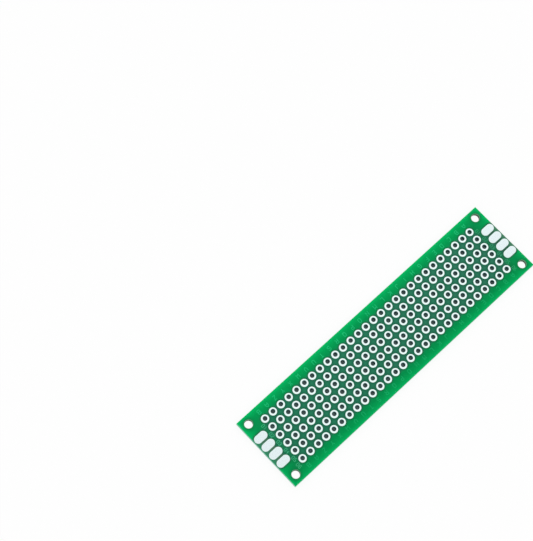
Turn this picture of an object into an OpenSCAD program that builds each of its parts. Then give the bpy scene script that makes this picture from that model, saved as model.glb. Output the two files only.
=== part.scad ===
// Double-sided prototype board: a grid of plated through holes in a green laminate
// with solder mask on both faces, oblong pads at both ends and a fixing hole in each corner.
// It lies flat. The origin is at the middle of its underside, X runs along the board from
// line A, Y runs across it from row 1, and Z points up.

/* [Hole grid] */
// Distance between the centres of neighbouring holes
pitch = 2.54; // [2.3:0.01:3]
// Lettered lines of holes along the board
lines = 28; // [4:1:28]
// Numbered rows of holes across the board
rows = 6; // [4:1:9]
// From the centre of a line A hole to the end of the board
end_margin = 5.71; // [5.4:0.01:8]
// From the centre of a row 1 hole to the side of the board
side_margin = 3.65; // [3.2:0.01:6]

/* [Laminate] */
// Thickness of the laminate between the two copper layers
laminate_thickness = 1.1; // [0.7:0.1:3.1]

/* [Plated holes] */
// Diameter of the open hole inside its plating
hole_diameter = 1; // [0.7:0.01:1.3]
// Diameter of the ring pad on each face
pad_diameter = 1.98; // [1.6:0.01:2.15]
// Thickness of the plating on the wall of a hole
plating_thickness = 0.05; // [0.02:0.005:0.1]
// Height of every tinned pad above the laminate
pad_height = 0.05; // [0.04:0.005:0.12]

/* [End pads] */
// Length of an oblong end pad, along the board
end_pad_length = 3.58; // [2.4:0.01:3.8]
// Width of an oblong end pad, across the board
end_pad_width = 2; // [1.2:0.01:2.15]
// Gap between the tip of an end pad and the end of the board
end_pad_gap = 0.17; // [0.15:0.01:0.6]

/* [Fixing holes] */
// Diameter of a plain fixing hole
fixing_diameter = 2.05; // [1.6:0.05:2.6]
// From the centre of a fixing hole to the two board edges beside it
fixing_inset = 2; // [1.8:0.05:2.4]

/* [Solder mask] */
// Thickness of the mask on each face
mask_thickness = 0.03; // [0.015:0.005:0.035]
// Bare ring left between a pad and the mask
mask_clearance = 0.05; // [0.02:0.01:0.1]
// Bare ring left between a fixing hole and the mask
fixing_clearance = 0.08; // [0.02:0.01:0.2]

/* [Hidden] */
$fn = 64;
board_length = (lines - 1) * pitch + 2 * end_margin;
board_width = (rows - 1) * pitch + 2 * side_margin;
laminate_bottom = pad_height;
laminate_top = laminate_bottom + laminate_thickness;
board_top = laminate_top + pad_height;
drill_radius = hole_diameter / 2 + plating_thickness;
end_pad_offset = board_length / 2 - end_pad_gap - end_pad_length / 2;

mask_colour = [0.04, 0.6, 0.31];
tin_colour = [0.9, 0.94, 0.94];
laminate_colour = [0.6, 0.74, 0.64];

// The end pads stand beside the inner rows, and the fixing holes beside the outer two
end_pad_rows = [1 : rows - 2];

// Which way an end or a face lies from the middle of the board, with its name
ENDS = [[-1, "left"], [1, "right"]];
FACES = [[-1, "bottom"], [1, "top"]];

LETTERS = "abcdefghijklmnopqrstuvwxyz";

// Lines are named a to z, and those past z start again as a2, b2 and so on
function line_node(line) = str(
    "plated_holes_",
    LETTERS[line % len(LETTERS)],
    line < len(LETTERS) ? "" : str(floor(line / len(LETTERS)) + 1)
);
function end_pad_node(end, face, row) = str("end_pad_", end[1], "_", face[1], "_", row + 1);
function line_x(line) = (line - (lines - 1) / 2) * pitch;
function row_y(row) = (row - (rows - 1) / 2) * pitch;

// Outline of an oblong with round ends, its long way along X
module oblong(length, width) {
    square([length - width, width], center = true);
    for (side = [-1, 1])
        translate([side * (length - width) / 2, 0])
            circle(d = width);
}

// The children at every plated hole
module at_grid() {
    for (line = [0 : lines - 1], row = [0 : rows - 1])
        translate([line_x(line), row_y(row)])
            children();
}

// The children at the fixing hole in each corner
module at_fixing_holes() {
    for (x = [-1, 1], y = [-1, 1])
        translate([x * (board_length / 2 - fixing_inset), y * (board_width / 2 - fixing_inset)])
            children();
}

// The children at every end pad of one face
module at_end_pads() {
    for (end = ENDS, row = end_pad_rows)
        translate([end[0] * end_pad_offset, row_y(row)])
            children();
}

// Glass fibre sheet, drilled for every hole
module laminate() {
    color(laminate_colour)
        translate([0, 0, laminate_bottom])
            linear_extrude(laminate_thickness)
                difference() {
                    square([board_length, board_width], center = true);
                    at_grid() circle(r = drill_radius);
                    at_fixing_holes() circle(d = fixing_diameter);
                }
}

// Green coat on one face, open around each pad and hole
module solder_mask() {
    color(mask_colour)
        linear_extrude(mask_thickness)
            difference() {
                square([board_length, board_width], center = true);
                at_grid() circle(d = pad_diameter + 2 * mask_clearance);
                at_fixing_holes() circle(d = fixing_diameter + 2 * fixing_clearance);
                at_end_pads() oblong(
                    end_pad_length + 2 * mask_clearance,
                    end_pad_width + 2 * mask_clearance
                );
            }
}

module solder_mask_top() {
    translate([0, 0, laminate_top])
        solder_mask();
}

module solder_mask_bottom() {
    translate([0, 0, laminate_bottom - mask_thickness])
        solder_mask();
}

// One tinned barrel with its ring pad on each face, as a turned section
module plated_hole() {
    rotate_extrude()
        polygon([
            [hole_diameter / 2, 0],
            [pad_diameter / 2, 0],
            [pad_diameter / 2, laminate_bottom],
            [drill_radius, laminate_bottom],
            [drill_radius, laminate_top],
            [pad_diameter / 2, laminate_top],
            [pad_diameter / 2, board_top],
            [hole_diameter / 2, board_top]
        ]);
}

// The plated holes of one lettered line, which touch only the laminate
module plated_line(line) {
    color(tin_colour)
        for (row = [0 : rows - 1])
            translate([line_x(line), row_y(row), 0])
                plated_hole();
}

// Tinned oblong pad with no hole, on one face beside one row
module end_pad(end, face, row) {
    color(tin_colour)
        translate([end[0] * end_pad_offset, row_y(row), face[0] > 0 ? laminate_top : 0])
            linear_extrude(pad_height)
                oblong(end_pad_length, end_pad_width);
}

laminate();
solder_mask_top();
solder_mask_bottom();
for (line = [0 : lines - 1])
    plated_line(line);
for (end = ENDS, face = FACES, row = end_pad_rows)
    end_pad(end, face, row);
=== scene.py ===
import math
import random

import bmesh
import bpy
from mathutils import Matrix, Vector


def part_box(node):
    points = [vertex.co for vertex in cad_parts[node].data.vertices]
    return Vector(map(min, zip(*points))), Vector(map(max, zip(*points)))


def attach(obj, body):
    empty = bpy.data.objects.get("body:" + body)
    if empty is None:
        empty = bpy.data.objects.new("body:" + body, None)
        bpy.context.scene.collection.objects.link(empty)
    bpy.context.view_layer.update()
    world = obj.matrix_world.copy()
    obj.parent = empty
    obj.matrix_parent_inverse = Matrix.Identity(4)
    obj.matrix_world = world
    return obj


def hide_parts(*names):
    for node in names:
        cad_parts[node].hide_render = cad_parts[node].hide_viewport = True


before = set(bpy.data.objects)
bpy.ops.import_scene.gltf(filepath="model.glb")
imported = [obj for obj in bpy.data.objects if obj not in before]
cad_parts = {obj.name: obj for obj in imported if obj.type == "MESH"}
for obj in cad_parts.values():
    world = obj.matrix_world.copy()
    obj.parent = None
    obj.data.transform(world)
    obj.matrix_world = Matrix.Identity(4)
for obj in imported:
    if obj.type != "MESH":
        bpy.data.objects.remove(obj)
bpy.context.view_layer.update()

MM = 0.001
BODY = "root"
SEED = 7

# Layout of the board in the CAD frame, in millimetres
PITCH = 2.54
ROWS = 6
LINES = 28
HALF_LENGTH = 40
HALF_WIDTH = 10
LAMINATE_TOP = 1.15
BOARD_TOP = 1.2
MID_PLANE = BOARD_TOP / 2
PAD_RADIUS = 0.99
END_PAD_X = 38.04
END_PAD_HALF_STRAIGHT = 0.79
END_PAD_RADIUS = 1
FIXING_X = 38
FIXING_Y = 8
FIXING_RADIUS = 1.025
LETTER_Y = 8.45
NUMBER_X = 35.8

# Camera of the photograph, worked out from the hole grid, in millimetres
CAMERA_PLACE = (105.694, 37.591, 365.704)
CAMERA_LOOK = (-0.25161, -0.18278, -0.95041)
CAMERA_UP = (-0.63918, -0.70599, 0.30499)
CAMERA_LENS = 106.389
CAMERA_SENSOR = 36
# Nearest and furthest distance that the camera shows, in metres
CAMERA_CLIP = (0.01, 20)

WORLD_STRENGTH = 0.88
# Name of each lamp, its place and size in metres, and its power in watts
LAMPS = (
    ("key", (-0.5, -0.45, 0.75), 0.6, 0.85),
    ("fill", (0.6, 0.4, 0.7), 0.6, 0.8),
)


# Colours and nodes

def srgb(red, green, blue):
    """A colour given as it shows on screen, from 0 to 255, as linear RGBA."""
    def linear(value):
        share = value / 255
        return share / 12.92 if share <= 0.04045 else ((share + 0.055) / 1.055) ** 2.4
    return (linear(red), linear(green), linear(blue), 1)


# Most values of a noise texture lie between these
NOISE_RANGE = (0.3, 0.7)


class Shader:
    """Builds one procedural material with short calls."""

    def __init__(self, name):
        self.material = bpy.data.materials.new(name)
        self.material.use_nodes = True
        self.tree = self.material.node_tree
        self.tree.nodes.clear()
        self.place_socket = None
        self.axis_sockets = None
        self.middle_sockets = None

    def node(self, kind, inputs=(), **settings):
        """Adds a shader node. Inputs give a value or a socket for each input, by name or number."""
        made = self.tree.nodes.new("ShaderNode" + kind)
        for name, value in settings.items():
            setattr(made, name, value)
        for key, value in dict(inputs).items():
            self.plug(value, made.inputs[key])
        return made

    def plug(self, value, socket):
        """Links value to the socket if it is a socket too, and otherwise writes it there."""
        if isinstance(value, bpy.types.NodeSocket):
            self.tree.links.new(value, socket)
        else:
            socket.default_value = value

    def maths(self, operation, *values):
        """The result of one Math node."""
        return self.node("Math", enumerate(values), operation=operation).outputs[0]

    def span(self, value, low, high, to_low=0, to_high=1, smooth=False):
        """Maps value from low..high to to_low..to_high, and holds it at the ends."""
        kind = "SMOOTHSTEP" if smooth else "LINEAR"
        inputs = {"Value": value, "From Min": low, "From Max": high, "To Min": to_low, "To Max": to_high}
        return self.node("MapRange", inputs, interpolation_type=kind, clamp=True).outputs[0]

    def mix(self, share, first, second, how="MIX"):
        """Second over first by share. A colour mix node has its colours at inputs 6 and 7."""
        made = self.node("Mix", {0: share}, data_type="RGBA", blend_type=how)
        self.plug(first, made.inputs[6])
        self.plug(second, made.inputs[7])
        return made.outputs[2]

    def ramp(self, value, stops):
        """A colour by value from 0 to 1. Stops are pairs of place and colour."""
        made = self.node("ValToRGB", {0: value})
        elements = made.color_ramp.elements
        while len(elements) < len(stops):
            elements.new(0.5)
        for element, (place, colour) in zip(elements, stops):
            element.position = place
            element.color = colour
        return made.outputs[0]

    def noise(self, scale, detail):
        """Noise over the board, with scale as features a millimetre."""
        inputs = {"Vector": self.place(), "Scale": scale, "Detail": detail}
        return self.node("TexNoise", inputs).outputs[0]

    def blotches(self, scale, detail, low, high):
        """Noise that is spread from low to high."""
        return self.span(self.noise(scale, detail), *NOISE_RANGE, low, high)

    def place(self):
        """Position in the CAD frame in millimetres."""
        if self.place_socket is None:
            object_place = self.node("TexCoord").outputs["Object"]
            scaled = self.node("VectorMath", {0: object_place, "Scale": 1 / MM}, operation="SCALE")
            self.place_socket = scaled.outputs[0]
        return self.place_socket

    def axes(self):
        """The X, Y and Z of the position in millimetres."""
        if self.axis_sockets is None:
            self.axis_sockets = self.node("SeparateXYZ", {0: self.place()}).outputs
        return self.axis_sockets

    def from_middle(self):
        """How far along X and along Y a point is from the middle of the board, in millimetres."""
        if self.middle_sockets is None:
            self.middle_sockets = [self.maths("ABSOLUTE", axis) for axis in self.axes()[:2]]
        return self.middle_sockets

    def along_board(self):
        """0 at the left end of the board, 1 at the right end."""
        return self.span(self.axes()[0], -HALF_LENGTH, HALF_LENGTH)

    def flatness(self, low, high):
        """0 where the upright part of the surface's normal is under low, 1 where it is over high."""
        normal = self.node("NewGeometry").outputs["Normal"]
        upright = self.node("SeparateXYZ", {0: normal}).outputs[2]
        return self.span(self.maths("ABSOLUTE", upright), low, high)

    def bump(self, height, distance):
        """A normal bent by height, with distance in metres from its lowest to its highest."""
        return self.node("Bump", {"Height": height, "Distance": distance}).outputs[0]

    def surface(self, **inputs):
        """Ends the material in a Principled shader. Words in an input's name are joined with _."""
        named = {}
        for name, value in inputs.items():
            named[name.replace("_", " ").title().replace("Ior", "IOR")] = value
        return self.finish(self.node("BsdfPrincipled", named).outputs[0])

    def finish(self, shader):
        self.node("OutputMaterial", {0: shader})
        return self.material


def length_of(shader, x, y):
    """How long the way is that goes x one way and y across it."""
    squares = [shader.maths("MULTIPLY", value, value) for value in (x, y)]
    return shader.maths("SQRT", shader.maths("ADD", *squares))


def offset_in_grid(shader, axis, count, first, last):
    """Millimetres along one axis from the nearest grid place of those numbered first to last.

    There are count places in all, a pitch apart, and their middle is the board's.
    """
    place = shader.maths("ADD", shader.maths("DIVIDE", axis, PITCH), (count - 1) / 2)
    nearest = shader.maths("MINIMUM", shader.maths("MAXIMUM", shader.maths("ROUND", place), first), last)
    return shader.maths("MULTIPLY", shader.maths("SUBTRACT", place, nearest), PITCH)


def offsets_from_bore(shader):
    """Millimetres along X and along Y from the centre of the nearest plated hole."""
    to_line = offset_in_grid(shader, shader.axes()[0], LINES, 0, LINES - 1)
    to_row = offset_in_grid(shader, shader.axes()[1], ROWS, 0, ROWS - 1)
    return to_line, to_row


def gap_to_ring_pad(shader):
    """Millimetres in the plane of the board from the rim of the nearest ring pad."""
    return shader.maths("SUBTRACT", length_of(shader, *offsets_from_bore(shader)), PAD_RADIUS)


def gap_to_end_pad(shader):
    """Millimetres in the plane of the board from the rim of the nearest end pad."""
    x = shader.maths("ABSOLUTE", shader.axes()[0])
    from_centre = shader.maths("ABSOLUTE", shader.maths("SUBTRACT", x, END_PAD_X))
    past_straight = shader.maths("MAXIMUM", shader.maths("SUBTRACT", from_centre, END_PAD_HALF_STRAIGHT), 0)
    to_row = offset_in_grid(shader, shader.axes()[1], ROWS, 1, ROWS - 2)
    return shader.maths("SUBTRACT", length_of(shader, past_straight, to_row), END_PAD_RADIUS)


def gap_to_pad(shader):
    """Millimetres in the plane of the board from the rim of the nearest ring pad or end pad."""
    return shader.maths("MINIMUM", gap_to_ring_pad(shader), gap_to_end_pad(shader))


def gap_to_fixing_hole(shader):
    """Millimetres in the plane of the board from the rim of the nearest fixing hole."""
    x, y = shader.from_middle()
    offset_x = shader.maths("SUBTRACT", x, FIXING_X)
    offset_y = shader.maths("SUBTRACT", y, FIXING_Y)
    return shader.maths("SUBTRACT", length_of(shader, offset_x, offset_y), FIXING_RADIUS)


def box_distance(shader, half_x, half_y):
    """Distance in millimetres outside a rectangle about the middle of the board, below 0 inside it."""
    x, y = shader.from_middle()
    past_x = shader.maths("SUBTRACT", x, half_x)
    past_y = shader.maths("SUBTRACT", y, half_y)
    return shader.maths("MAXIMUM", past_x, past_y)


# Solder mask

# Margin colours by millimetres from the outer edge, as shares of MARGIN_DEPTH, with painted light:
# brightest at the edge, where light gets into the laminate, and darker inwards
MARGIN_DEPTH = 3.6
MARGIN_PAINTED_LIGHT_STOPS = (
    (0.00, srgb(4, 182, 100)),
    (0.07, srgb(0, 175, 94)),
    (0.14, srgb(0, 167, 88)),
    (0.22, srgb(0, 161, 84)),
    (0.33, srgb(0, 154, 80)),
    (0.56, srgb(0, 144, 76)),
    (1.00, srgb(4, 136, 74)),
)
# Painted shade beside the pads, where they keep light out of the laminate, and the same darkening round the
# fixing holes; the gaps from their rims over which it clears, and how clear it is at the rim of a fixing
# hole
MARGIN_PAINTED_SHADE = srgb(12, 116, 66)
PAD_SHADE_FADE = (0.05, 0.55)
FIXING_SHADE_FADE = (0, 0.9)
CLEAR_AT_FIXING_RIM = 0.3

# Between the pads, where they keep light out of the laminate: painted shade that is darkest beside them,
# and further off a green that changes from the left end to the right end. The painted shade clears over the
# gaps of WEB_FADE
WEB_PAINTED_SHADE = srgb(26, 95, 70)
WEB_LEFT = srgb(48, 121, 93)
WEB_RIGHT = srgb(34, 123, 87)
WEB_FADE = (0, 0.75)

# Strips between the end pads, by place from the left end of the board to the right end
LANE_STOPS = (
    (0.000, srgb(72, 132, 100)),
    (0.010, srgb(62, 118, 90)),
    (0.018, srgb(50, 94, 75)),
    (0.035, srgb(46, 92, 72)),
    (0.965, srgb(70, 112, 88)),
    (0.982, srgb(70, 112, 88)),
    (0.990, srgb(56, 124, 94)),
    (1.000, srgb(50, 140, 98)),
)
# Where the strips begin along the board and end across it, in millimetres from its middle
LANE_BEGIN_X = (36.7, 37.3)
LANE_END_Y = (4.6, 4.8)

# Ground of the row numbers, at the left end and at the right end
NUMBER_GROUND_LEFT = srgb(6, 112, 60)
NUMBER_GROUND_RIGHT = srgb(14, 126, 74)
# Distance from the middle line of the numbers over which it fades out
NUMBER_GROUND_REACH = (0.35, 0.75)
# Its shares at the inner and at the outer rows, and where across the board it changes and where it ends
NUMBER_GROUND_SHARES = (0.5, 0.25)
NUMBER_GROUND_CHANGE_Y = (4.2, 4.9)
NUMBER_GROUND_END_Y = (6.8, 7.4)

# Half sizes of the field that has the web colour, in its middle part and out between the end pads, and
# the distances past its outline over which the margin colour takes over
FIELD_MIDDLE = (34.9, 6.7)
FIELD_ENDS = (39.2, 4.45)
FIELD_FADE = (-0.1, 0.9)

# Darkest and brightest tone from the blotches and from the glass cloth, and the tones at the row 1 side
# and at the row 6 side. CLOTH_PITCH is in millimetres
MOTTLE_TONES = (0.94, 1.05)
CLOTH_TONES = (0.975, 1.02)
ACROSS_TONES = (1.1, 0.96)
CLOTH_PITCH = 0.5

MASK_SPECULAR = 0.03

# Tones of the raised print, paler than the mask and with a painted highlight where the strokes catch light,
# and their shares over the mask, which differ as painted light: for the letters at the row 1 side and at
# the row 6 side, for the numbers at the left end and at the right end. Letters lie beyond LETTERS_FROM_Y
LETTER_TONE_AND_HIGHLIGHT = srgb(50, 225, 150)
LETTER_SHARES_WITH_HIGHLIGHT = (0.46, 0.22)
NUMBER_TONE_AND_HIGHLIGHT = srgb(84, 196, 150)
NUMBER_SHARES_WITH_HIGHLIGHT = (0.48, 0.76)
LETTERS_FROM_Y = (7.75, 7.85)


def margin_colour(shader, gap):
    """Bright green at the outer edges, deeper inwards and beside the pads: painted light and shade of light
    that enters the laminate at the margins and is kept out by the pads.
    """
    inwards = shader.maths("MULTIPLY", box_distance(shader, HALF_LENGTH, HALF_WIDTH), -1 / MARGIN_DEPTH)
    clear_of_pads = shader.span(gap, *PAD_SHADE_FADE, smooth=True)
    clear_of_holes = shader.span(gap_to_fixing_hole(shader), *FIXING_SHADE_FADE, CLEAR_AT_FIXING_RIM, 1)
    clear = shader.maths("MULTIPLY", clear_of_pads, clear_of_holes)
    return shader.mix(clear, MARGIN_PAINTED_SHADE, shader.ramp(inwards, MARGIN_PAINTED_LIGHT_STOPS))


def web_colour(shader, gap):
    """Muted green between the pads, darker than the margin and darkest beside them: painted shade where the
    pads keep light out of the laminate.
    """
    middle = shader.mix(shader.along_board(), WEB_LEFT, WEB_RIGHT)
    return shader.mix(shader.span(gap, *WEB_FADE), WEB_PAINTED_SHADE, middle)


def add_lanes(shader, colour):
    """The colour with the strips between the end pads put over it."""
    x, y = shader.from_middle()
    share = shader.maths("MULTIPLY", shader.span(y, *LANE_END_Y, 1, 0), shader.span(x, *LANE_BEGIN_X))
    return shader.mix(share, colour, shader.ramp(shader.along_board(), LANE_STOPS))


def add_number_ground(shader, colour):
    """The colour with a purer green put over it where the row numbers stand."""
    x, y = shader.from_middle()
    from_numbers = shader.maths("ABSOLUTE", shader.maths("SUBTRACT", x, NUMBER_X))
    near = shader.span(from_numbers, *NUMBER_GROUND_REACH, 1, 0)
    strength = shader.span(y, *NUMBER_GROUND_CHANGE_Y, *NUMBER_GROUND_SHARES)
    within = shader.span(y, *NUMBER_GROUND_END_Y, 1, 0)
    share = shader.maths("MULTIPLY", shader.maths("MULTIPLY", near, strength), within)
    ground = shader.mix(shader.along_board(), NUMBER_GROUND_LEFT, NUMBER_GROUND_RIGHT)
    return shader.mix(share, colour, ground)


def weave(shader):
    """Fine cross pattern of the glass cloth, from 0 to 1."""
    waves = []
    for axis in shader.axes()[:2]:
        turned = shader.maths("MULTIPLY", axis, 2 * math.pi / CLOTH_PITCH)
        waves.append(shader.maths("SINE", turned))
    return shader.span(shader.maths("MULTIPLY", *waves), -1, 1)


def mask_tone(shader):
    """A grey about 1 that lightens and darkens the mask from place to place."""
    low, high = MOTTLE_TONES
    mottle = shader.blotches(scale=1.1, detail=4, low=low, high=high)
    cloth = shader.span(weave(shader), 0, 1, *CLOTH_TONES)
    across = shader.span(shader.axes()[1], -HALF_WIDTH, HALF_WIDTH, *ACROSS_TONES)
    light = shader.maths("MULTIPLY", shader.maths("MULTIPLY", mottle, cloth), across)
    return shader.node("CombineColor", {0: light, 1: light, 2: light}).outputs[0]


def mask_colour(shader):
    """The colour of the mask all over one face of the board."""
    field = shader.maths("MINIMUM", box_distance(shader, *FIELD_MIDDLE), box_distance(shader, *FIELD_ENDS))
    outside = shader.span(field, *FIELD_FADE, smooth=True)
    gap = gap_to_pad(shader)
    base = shader.mix(outside, web_colour(shader, gap), margin_colour(shader, gap))
    base = add_number_ground(shader, add_lanes(shader, base))
    return shader.mix(1.0, base, mask_tone(shader), how="MULTIPLY")


def mask_material():
    shader = Shader("solder_mask")
    return shader.surface(
        base_color=mask_colour(shader),
        roughness=shader.blotches(scale=0.35, detail=3, low=0.2, high=0.3),
        specular_ior_level=MASK_SPECULAR,
        normal=shader.bump(shader.noise(scale=1.6, detail=3), distance=0.004 * MM),
    )


def legend_material():
    """Mask over raised strokes. It is paler, and more so as a painted highlight where the strokes catch
    light, most of all at the row 1 side and at the right end.
    """
    shader = Shader("legend_mask")
    is_letter = shader.span(shader.from_middle()[1], *LETTERS_FROM_Y)
    letter_share_with_highlight = shader.span(shader.axes()[1], -HALF_WIDTH, HALF_WIDTH, *LETTER_SHARES_WITH_HIGHLIGHT)
    number_share_with_highlight = shader.span(shader.axes()[0], -HALF_LENGTH, HALF_LENGTH, *NUMBER_SHARES_WITH_HIGHLIGHT)
    share_difference = shader.maths("SUBTRACT", letter_share_with_highlight, number_share_with_highlight)
    share = shader.maths("ADD", number_share_with_highlight, shader.maths("MULTIPLY", is_letter, share_difference))
    tone = shader.mix(is_letter, NUMBER_TONE_AND_HIGHLIGHT, LETTER_TONE_AND_HIGHLIGHT)
    return shader.surface(
        base_color=shader.mix(share, mask_colour(shader), tone),
        roughness=shader.blotches(scale=0.35, detail=3, low=0.22, high=0.32),
        specular_ior_level=MASK_SPECULAR,
    )


# Laminate

# Cut edge, drilled walls and their streaks, face in the openings of the mask, ring round a fixing hole
EDGE_DARK = srgb(98, 180, 152)
EDGE_PALE = srgb(156, 210, 192)
WALL_DEEP_PAINTED_SHADE = srgb(55, 72, 61)
WALL_MOUTH = srgb(154, 186, 156)
WALL_STREAK_DARK = srgb(53, 70, 57)
WALL_STREAK_PALE = srgb(150, 178, 146)
STREAK_SHARE = 0.5
FACE_DARK = srgb(40, 108, 80)
FACE_PALE = srgb(60, 130, 100)
BARE_RING = srgb(116, 165, 138)
# Distance from one layer of glass cloth to the next, in millimetres
LAYER_PITCH = 0.19
# Distance from the mid plane of the board over which a drilled wall grows paler towards its mouth: painted
# shade, darkest half way down the hole
MOUTH_FADE = (0.2, 0.55)
# Distance past the rim of a fixing hole over which its bare ring ends
BARE_RING_END = (0.1, 0.3)
# Distance from the board's outline, below 0 inside it, from which a wall counts as its cut edge
EDGE_FROM = (-0.1, -0.05)
# Upright part of the normal where the laminate passes from wall to face
FACE_NORMALS = (0.4, 0.6)


def drilled_wall_colour(shader, streak):
    """Grey-green streaks, with painted shade that is darkest half way down the hole."""
    from_middle = shader.maths("ABSOLUTE", shader.maths("SUBTRACT", shader.axes()[2], MID_PLANE))
    mouth = shader.span(from_middle, *MOUTH_FADE, smooth=True)
    plain = shader.mix(mouth, WALL_DEEP_PAINTED_SHADE, WALL_MOUTH)
    streaks = shader.mix(streak, WALL_STREAK_DARK, WALL_STREAK_PALE)
    return shader.mix(STREAK_SHARE, plain, streaks)


def laminate_material():
    """Pale layered edge outside, grey-green drilled walls with painted shade deep inside, green where it
    shows through the mask's openings, and a paler bare ring round each fixing hole."""
    shader = Shader("laminate")
    layer = shader.maths("SINE", shader.maths("MULTIPLY", shader.axes()[2], 2 * math.pi / LAYER_PITCH))
    fibres = shader.noise(scale=9, detail=4)
    streak = shader.span(shader.maths("ADD", layer, fibres), -1, 2)
    outer = shader.span(box_distance(shader, HALF_LENGTH, HALF_WIDTH), *EDGE_FROM)
    edge = shader.mix(streak, EDGE_DARK, EDGE_PALE)
    wall = shader.mix(outer, drilled_wall_colour(shader, streak), edge)
    bare_ring = shader.span(gap_to_fixing_hole(shader), *BARE_RING_END, 1, 0)
    face = shader.mix(bare_ring, shader.mix(fibres, FACE_DARK, FACE_PALE), BARE_RING)
    return shader.surface(
        base_color=shader.mix(shader.flatness(*FACE_NORMALS), wall, face),
        roughness=0.7,
        specular_ior_level=0.2,
        normal=shader.bump(fibres, distance=0.01 * MM),
    )


# Tin

# Colours where the solder is curved, and where it lies flat on the ring pads and on the end pads
CURVED_TIN_DARK = srgb(235, 252, 250)
CURVED_TIN_PALE = srgb(243, 255, 253)
FLAT_RING_TIN = srgb(241, 255, 254)
FLAT_END_PAD_TIN = srgb(229, 242, 244)
# Upright part of the normal where the solder passes from curved to flat
LEVEL_NORMALS = (0.985, 0.9995)
# Green at the rim of a pad, and the gaps from that rim, below 0 inside it, over which it sets in
RIM_TIN = srgb(160, 225, 200)
RIM_FADE = (-0.06, 0)
# Bore and lip round its mouth: dull tin darkened with painted shade. The lip ends between LIP_RADII
BORE_SHADE_DARK = srgb(6, 70, 68)
BORE_SHADE_PALE = srgb(32, 106, 104)
LIP_RADII = (0.535, 0.6)
# How far the painted shade on the lip of a plated hole sits off its centre, towards row 1 and line A alike
LIP_DRIFT = 0.04


def barrel_share(shader):
    """1 in the bore of a plated hole and on the lip round its mouth, where painted shade goes, 0 further
    out.
    """
    drifted = [shader.maths("ADD", offset, LIP_DRIFT) for offset in offsets_from_bore(shader)]
    return shader.span(length_of(shader, *drifted), *LIP_RADII, 1, 0)


def tin_material(name, level_colour, has_bores):
    """Levelled solder: bright satin metal, level_colour where it lies flat, green at the rim, and dull tin
    darkened with painted shade in the bores if it has them."""
    shader = Shader(name)
    cloud = shader.noise(scale=1.4, detail=4)
    curved = shader.mix(cloud, CURVED_TIN_DARK, CURVED_TIN_PALE)
    rim = shader.span(gap_to_pad(shader), *RIM_FADE)
    plain = shader.mix(shader.flatness(*LEVEL_NORMALS), curved, level_colour)
    colour = shader.mix(rim, plain, RIM_TIN)
    if has_bores:
        # Painted shade in the bores and on the lips round their mouths
        colour = shader.mix(barrel_share(shader), colour, shader.mix(cloud, BORE_SHADE_DARK, BORE_SHADE_PALE))
    return shader.surface(
        base_color=colour,
        metallic=0.5,
        roughness=shader.blotches(scale=2.5, detail=3, low=0.36, high=0.5),
        normal=shader.bump(shader.noise(scale=1.7, detail=3), distance=0.006 * MM),
    )


# Meshes

def add_piece(name, bm, material, replaced=None, sharp_degrees=40):
    """Turns a bmesh in metres into a piece that rides on the board."""
    bmesh.ops.recalc_face_normals(bm, faces=bm.faces)
    mesh = bpy.data.meshes.new(name)
    bm.to_mesh(mesh)
    bm.free()
    mesh.shade_smooth()
    mesh.set_sharp_from_angle(angle=math.radians(sharp_degrees))
    mesh.materials.append(material)
    piece = bpy.data.objects.new(name, mesh)
    bpy.context.scene.collection.objects.link(piece)
    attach(piece, BODY)
    if replaced:
        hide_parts(replaced)
    return piece


def add_loop(bm, points):
    """Vertices at points in millimetres."""
    return [bm.verts.new(Vector(point) * MM) for point in points]


def bridge(bm, first, second):
    """Quads between two closed loops of the same length."""
    count = len(first)
    for k in range(count):
        after = (k + 1) % count
        bm.faces.new((first[k], first[after], second[after], second[k]))


# Half of the turned section of a plated hole, as radius and depth below the top of the pad, from the
# middle of its bore up over the pad and back to its outer wall
HALF_SECTION = (
    (0.500, 0.6),
    (0.500, 0.3),
    (0.500, 0.12),
    (0.503, 0.06),
    (0.515, 0.028),
    (0.540, 0.011),
    (0.580, 0.004),
    (0.650, 0.0005),
    (0.745, 0.0),
    (0.835, 0.0015),
    (0.912, 0.007),
    (0.956, 0.016),
    (0.980, 0.029),
    (0.990, 0.044),
    (0.990, 0.05),
    (0.550, 0.05),
)
# Radii between which the crown of a pad lies, and the most that it leans in or out
CROWN_RADII = (0.6, 0.9)
CROWN_LEAN = 0.03
AROUND = 44


def ring_section(rng):
    """The whole turned section, with the crown of each face a little different."""
    halves = []
    for face in (1, -1):
        lean = rng.uniform(-CROWN_LEAN, CROWN_LEAN)
        half = []
        for radius, depth in HALF_SECTION:
            on_crown = CROWN_RADII[0] < radius < CROWN_RADII[1]
            moved = radius + lean if on_crown else radius
            half.append((moved, MID_PLANE + face * (MID_PLANE - depth)))
        halves.append(half)
    upper, lower = halves
    return upper + lower[:0:-1]


def add_plated_hole(bm, x, y, rng):
    """One closed solid: the section of a plated hole, turned about its axis."""
    section = ring_section(rng)
    loops = []
    for k in range(AROUND):
        angle = 2 * math.pi * k / AROUND
        c, s = math.cos(angle), math.sin(angle)
        loops.append(add_loop(bm, [(x + r * c, y + r * s, z) for r, z in section]))
    for k in range(AROUND):
        bridge(bm, loops[k], loops[(k + 1) % AROUND])


def add_plated_line(node, material, rng):
    """The six plated holes of one line, each a closed solid."""
    low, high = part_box(node)
    x = (low.x + high.x) / 2 / MM
    first_y = low.y / MM + PAD_RADIUS
    bm = bmesh.new()
    for row in range(ROWS):
        add_plated_hole(bm, x, first_y + row * PITCH, rng)
    add_piece("tinned_" + node, bm, material, node)


# Rings of an end pad, as inset from its outline and share of its height
END_PAD_RINGS = (
    (0.0, 0.0),
    (0.0, 0.25),
    (0.012, 0.5),
    (0.04, 0.7),
    (0.09, 0.83),
    (0.18, 0.92),
    (0.34, 0.97),
    (0.56, 0.99),
    (0.80, 1.0),
)
END_PAD_ARC = 24


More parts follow.
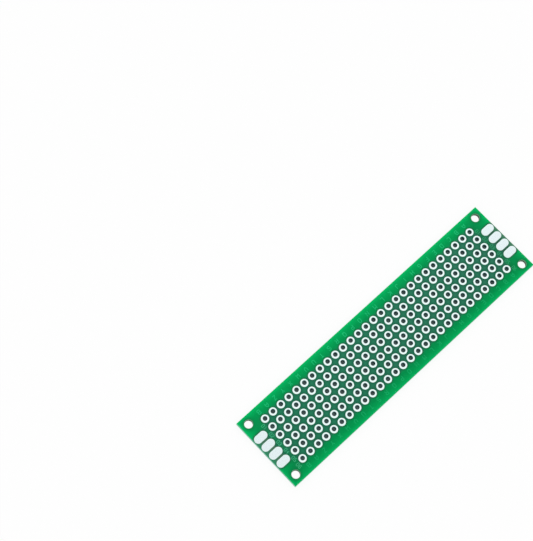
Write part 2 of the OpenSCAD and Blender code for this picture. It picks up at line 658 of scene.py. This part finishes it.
def oblong_points(centre, half_straight, radius, z):
    """Points round an oblong whose long way is along X."""
    points = []
    for side in (1, -1):
        for k in range(END_PAD_ARC + 1):
            angle = math.pi * (k / END_PAD_ARC - 0.5)
            x = centre.x + side * (half_straight + radius * math.cos(angle))
            y = centre.y + side * radius * math.sin(angle)
            points.append((x, y, z))
    return points


def add_end_pad(node, material):
    """A domed oblong pad. Its flat side lies on the laminate."""
    low, high = (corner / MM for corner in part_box(node))
    centre = (low + high) / 2
    radius = (high.y - low.y) / 2
    half_straight = (high.x - low.x) / 2 - radius
    outwards = 1 if centre.z > MID_PLANE else -1
    base = LAMINATE_TOP if outwards > 0 else BOARD_TOP - LAMINATE_TOP
    bm = bmesh.new()
    loops = []
    for inset, share in END_PAD_RINGS:
        z = base + outwards * share * (BOARD_TOP - LAMINATE_TOP)
        loops.append(add_loop(bm, oblong_points(centre, half_straight, radius - inset, z)))
    for first, second in zip(loops, loops[1:]):
        bridge(bm, first, second)
    bm.faces.new(loops[0])
    bm.faces.new(loops[-1])
    add_piece("tinned_" + node, bm, material, node)


# Print

# Strokes of each character on a grid 4 wide and 6 high: pairs of digits are points
STROKES = {
    "A": "00 04 26 44 40,02 42",
    "B": "00 06 36 45 44 33 03,33 42 41 30 00",
    "C": "45 36 16 05 01 10 30 41",
    "D": "00 06 36 45 41 30 00",
    "E": "46 06 00 40,03 33",
    "F": "46 06 00,03 33",
    "G": "45 36 16 05 01 10 30 41 43 23",
    "H": "00 06,40 46,03 43",
    "I": "20 26",
    "J": "46 41 30 10 01",
    "K": "00 06,46 02,13 40",
    "L": "06 00 40",
    "M": "00 06 24 46 40",
    "N": "00 06 40 46",
    "O": "01 05 16 36 45 41 30 10 01",
    "P": "00 06 36 45 44 33 03",
    "Q": "01 05 16 36 45 41 30 10 01,22 40",
    "R": "00 06 36 45 44 33 03,23 40",
    "S": "45 36 16 05 04 13 33 42 41 30 10 01",
    "T": "06 46,26 20",
    "U": "06 01 10 30 41 46",
    "V": "06 02 20 42 46",
    "W": "06 00 22 40 46",
    "X": "00 46,06 40",
    "Y": "06 23 46,23 20",
    "Z": "06 46 00 40",
    "0": "01 05 16 36 45 41 30 10 01",
    "1": "15 26 20",
    "2": "05 16 36 45 44 00 40",
    "3": "05 16 36 45 44 33 13,33 42 41 30 10 01",
    "4": "30 36 12 42,34 23 33",
    "5": "46 06 03 33 42 41 30 10 01",
    "6": "45 36 16 05 01 10 30 41 42 33 03",
}
STROKE_GRID = (4, 6)
LETTERS = "ABCDEFGHIJKLMNOPQRSTUVWXYZ"
LETTER_STROKE = 0.17
NUMBER_STROKE = 0.11
# Cross section of a stroke, as share of its half width and depth below the top of the pads
STROKE_SECTION = ((-1, 0.025), (-0.85, 0.014), (-0.4, 0.008), (0.4, 0.008), (0.85, 0.014), (1, 0.025))
# A corner of a stroke reaches out at most by its half width over this
CORNER_LIMIT = 0.5
LETTER_SIZE = (0.66, 1.03)
DIGIT_SIZE = (0.45, 0.86)
DIGIT_STEP = 0.73
# How far a number stands from its row towards row 6
NUMBER_SHIFT = 1.3
# The last number stands nearer to its row, and further out at the right end
LAST_NUMBER_SHIFTS = {-1: 1.1, 1: 0.65}
LAST_NUMBER_OUTWARDS = {-1: 0, 1: 0.3}


def strokes_of(character):
    """Each stroke as a list of points, each coordinate from -0.5 to 0.5."""
    wide, high = STROKE_GRID
    strokes = []
    for stroke in STROKES[character].split(","):
        points = [Vector((int(p[0]) / wide - 0.5, int(p[1]) / high - 0.5)) for p in stroke.split()]
        strokes.append(points)
    return strokes


def steps_at(points, k):
    """Unit vectors along the stroke into and out of point k. An end of an open stroke has only one."""
    closed = points[0] == points[-1]
    before = points[k - 1] if k else (points[-2] if closed else None)
    after = points[k + 1] if k < len(points) - 1 else (points[1] if closed else None)
    steps = []
    if before is not None:
        steps.append((points[k] - before).normalized())
    if after is not None:
        steps.append((after - points[k]).normalized())
    return steps


def side_vector(points, k):
    """At point k of a stroke, the vector to its left side for a half width of 1."""
    steps = steps_at(points, k)
    way = sum(steps, Vector((0, 0))).normalized()
    side = Vector((-way.y, way.x))
    first_side = Vector((-steps[0].y, steps[0].x))
    return side / max(side.dot(first_side), CORNER_LIMIT)


def add_stroke(bm, points, width, face):
    """A low rounded ridge along the points, which are in millimetres on the board."""
    sections = []
    for k, point in enumerate(points):
        side = side_vector(points, k)
        ring = []
        for share, depth in STROKE_SECTION:
            flat = point + side * (share * width / 2)
            z = BOARD_TOP - depth if face > 0 else depth
            ring.append((flat.x, flat.y, z))
        sections.append(ring)
    closed = points[0] == points[-1]
    if closed:
        sections.pop()
    loops = [add_loop(bm, ring) for ring in sections]
    for first, second in zip(loops, loops[1:]):
        bridge(bm, first, second)
    if closed:
        bridge(bm, loops[-1], loops[0])
    else:
        bm.faces.new(loops[0])
        bm.faces.new(loops[-1])


def add_character(bm, character, centre, size, width, face, turned=False):
    """One character, upright or turned to read along +Y, that reads right when its face is looked at."""
    for stroke in strokes_of(character):
        points = []
        for point in stroke:
            across, up = point.x * size[0], point.y * size[1]
            offset = (-up * face, across) if turned else (across * face, up)
            points.append(Vector((centre[0] + offset[0], centre[1] + offset[1])))
        add_stroke(bm, points, width, face)


def add_row_number(bm, row, end, face):
    """The two figures of a row beside its end pad, turned to read from the right end."""
    last = row == ROWS - 1
    x = end * (NUMBER_X + (LAST_NUMBER_OUTWARDS[end] if last else 0))
    y = (row - (ROWS - 1) / 2) * PITCH + (LAST_NUMBER_SHIFTS[end] if last else NUMBER_SHIFT)
    for digit, shift in ((0, -DIGIT_STEP / 2), (row + 1, DIGIT_STEP / 2)):
        add_character(bm, str(digit), (x, y + shift), DIGIT_SIZE, NUMBER_STROKE, face, turned=True)


def add_legend(name, face, material):
    """Letters along both sides and row numbers at both ends of one face."""
    bm = bmesh.new()
    for line in range(LINES):
        letter = LETTERS[line % len(LETTERS)]
        x = (line - (LINES - 1) / 2) * PITCH
        for y in (-LETTER_Y, LETTER_Y):
            add_character(bm, letter, (x, y), LETTER_SIZE, LETTER_STROKE, face)
    for row in range(ROWS):
        for end in (-1, 1):
            add_row_number(bm, row, end, face)
    add_piece(name, bm, material, sharp_degrees=30)


# Stage

# Tone of the floor, and the darker tone that the camera sees below the board: painted shade that makes its
# holes show dark
FLOOR_TONE = srgb(250, 250, 250)
FLOOR_PAINTED_SHADE_BELOW = srgb(121, 152, 152)
# How much of the floor's look is plain white, through the fixing holes and beside the board, and the
# distances from the outline, below 0 inside it, between which it changes
WHITE_SHARES = (0.97, 0.86)
WHITE_CHANGE = (-0.3, 0)
# How open the floor counts below the board, and the distances between which it passes to open: from the
# outline of the board, and past the rim of a fixing hole
COVERED = 0.02
OPEN_FROM_OUTLINE = (-0.4, -0.1)
OPEN_PAST_RIM = (0.5, 0.8)
# How open the floor is where its tone passes from the one below the board to its own
TONE_CHANGE = (0.1, 0.5)
# Half the side of the floor and its height, in millimetres, and which way its corners lie
FLOOR_REACH = 3000
FLOOR_Z = -0.01
FLOOR_CORNERS = ((-1, -1), (1, -1), (1, 1), (-1, 1))


def open_floor(shader, outside):
    """1 where the floor lies beside the board or under a fixing hole, COVERED where it is below it."""
    beside = shader.span(outside, *OPEN_FROM_OUTLINE, COVERED, 1)
    under_holes = shader.span(gap_to_fixing_hole(shader), *OPEN_PAST_RIM, 1, COVERED)
    return shader.maths("MAXIMUM", beside, under_holes)


def floor_material():
    """Pale and matte to all light. It shows nearly white beside the board and through its fixing holes,
    with the board's shadow in what is left, and to the camera darker below the board as painted shade."""
    shader = Shader("floor")
    path = shader.node("LightPath").outputs
    seen = shader.maths("MAXIMUM", path["Is Camera Ray"], path["Is Glossy Ray"])
    seen = shader.maths("MAXIMUM", seen, path["Is Transmission Ray"])
    outside = box_distance(shader, HALF_LENGTH, HALF_WIDTH)
    shown = open_floor(shader, outside)
    white_share = shader.span(outside, *WHITE_CHANGE, *WHITE_SHARES)
    glow = shader.maths("MULTIPLY", shader.maths("MULTIPLY", seen, shown), white_share)
    covered = shader.span(shown, *TONE_CHANGE, 1, 0)
    # The camera sees painted shade on the floor below the board
    below = shader.maths("MULTIPLY", path["Is Camera Ray"], covered)
    tone = shader.mix(below, FLOOR_TONE, FLOOR_PAINTED_SHADE_BELOW)
    matte = shader.node("BsdfDiffuse", {"Color": tone}).outputs[0]
    white = shader.node("Emission", {"Color": (1, 1, 1, 1), "Strength": 1}).outputs[0]
    return shader.finish(shader.node("MixShader", {0: glow, 1: matte, 2: white}).outputs[0])


def add_floor():
    """A wide floor just below the board."""
    bm = bmesh.new()
    corners = [(x * FLOOR_REACH, y * FLOOR_REACH, FLOOR_Z) for x, y in FLOOR_CORNERS]
    bm.faces.new(add_loop(bm, corners))
    mesh = bpy.data.meshes.new("floor")
    bm.to_mesh(mesh)
    bm.free()
    mesh.materials.append(floor_material())
    floor = bpy.data.objects.new("floor", mesh)
    bpy.context.scene.collection.objects.link(floor)


def add_lamp(name, place, size, power):
    """A square soft lamp at place, in metres, that faces the board."""
    light = bpy.data.lights.new(name, "AREA")
    light.size = size
    light.energy = power
    lamp = bpy.data.objects.new(name, light)
    lamp.location = place
    lamp.rotation_euler = Vector(place).to_track_quat("Z", "Y").to_euler()
    bpy.context.scene.collection.objects.link(lamp)


def set_world(strength):
    """Even light, and white behind everything that the camera sees."""
    world = bpy.data.worlds.new("studio")
    world.use_nodes = True
    nodes, links = world.node_tree.nodes, world.node_tree.links
    nodes.clear()
    path = nodes.new("ShaderNodeLightPath")
    even = nodes.new("ShaderNodeBackground")
    even.inputs["Strength"].default_value = strength
    white = nodes.new("ShaderNodeBackground")
    for background in (even, white):
        background.inputs["Color"].default_value = (1, 1, 1, 1)
    mixed = nodes.new("ShaderNodeMixShader")
    output = nodes.new("ShaderNodeOutputWorld")
    links.new(path.outputs["Is Camera Ray"], mixed.inputs[0])
    links.new(even.outputs[0], mixed.inputs[1])
    links.new(white.outputs[0], mixed.inputs[2])
    links.new(mixed.outputs[0], output.inputs[0])
    bpy.context.scene.world = world


def add_camera():
    """The camera of the photograph."""
    look, up = Vector(CAMERA_LOOK).normalized(), Vector(CAMERA_UP)
    right = look.cross(up).normalized()
    up = right.cross(look)
    data = bpy.data.cameras.new("camera")
    data.sensor_width = CAMERA_SENSOR
    data.lens = CAMERA_LENS
    data.clip_start, data.clip_end = CAMERA_CLIP
    camera = bpy.data.objects.new("camera", data)
    turn = Matrix((right, up, -look)).transposed().to_4x4()
    camera.matrix_world = Matrix.Translation(Vector(CAMERA_PLACE) * MM) @ turn
    bpy.context.scene.collection.objects.link(camera)
    bpy.context.scene.camera = camera


# Putting it together

def dress_cad_node(node, material):
    """Gives a CAD node that keeps its shape its finished material."""
    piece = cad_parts[node]
    piece.data.materials.clear()
    piece.data.materials.append(material)


def dress_board():
    """Materials for the nodes that keep their shape, finer pieces for the others, and the print."""
    mask, legend = mask_material(), legend_material()
    ring_tin = tin_material("tin_rings", FLAT_RING_TIN, has_bores=True)
    flat_tin = tin_material("tin_flats", FLAT_END_PAD_TIN, has_bores=False)
    dress_cad_node("laminate", laminate_material())
    dress_cad_node("solder_mask_top", mask)
    dress_cad_node("solder_mask_bottom", mask)
    rng = random.Random(SEED)
    for node in sorted(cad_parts):
        if node.startswith("plated_holes"):
            add_plated_line(node, ring_tin, rng)
        elif node.startswith("end_pad"):
            add_end_pad(node, flat_tin)
    add_legend("legend_top", 1, legend)
    add_legend("legend_bottom", -1, legend)


add_camera()
add_floor()
set_world(WORLD_STRENGTH)
for lamp in LAMPS:
    add_lamp(*lamp)
dress_board()
bpy.context.scene.view_settings.view_transform = "Standard"
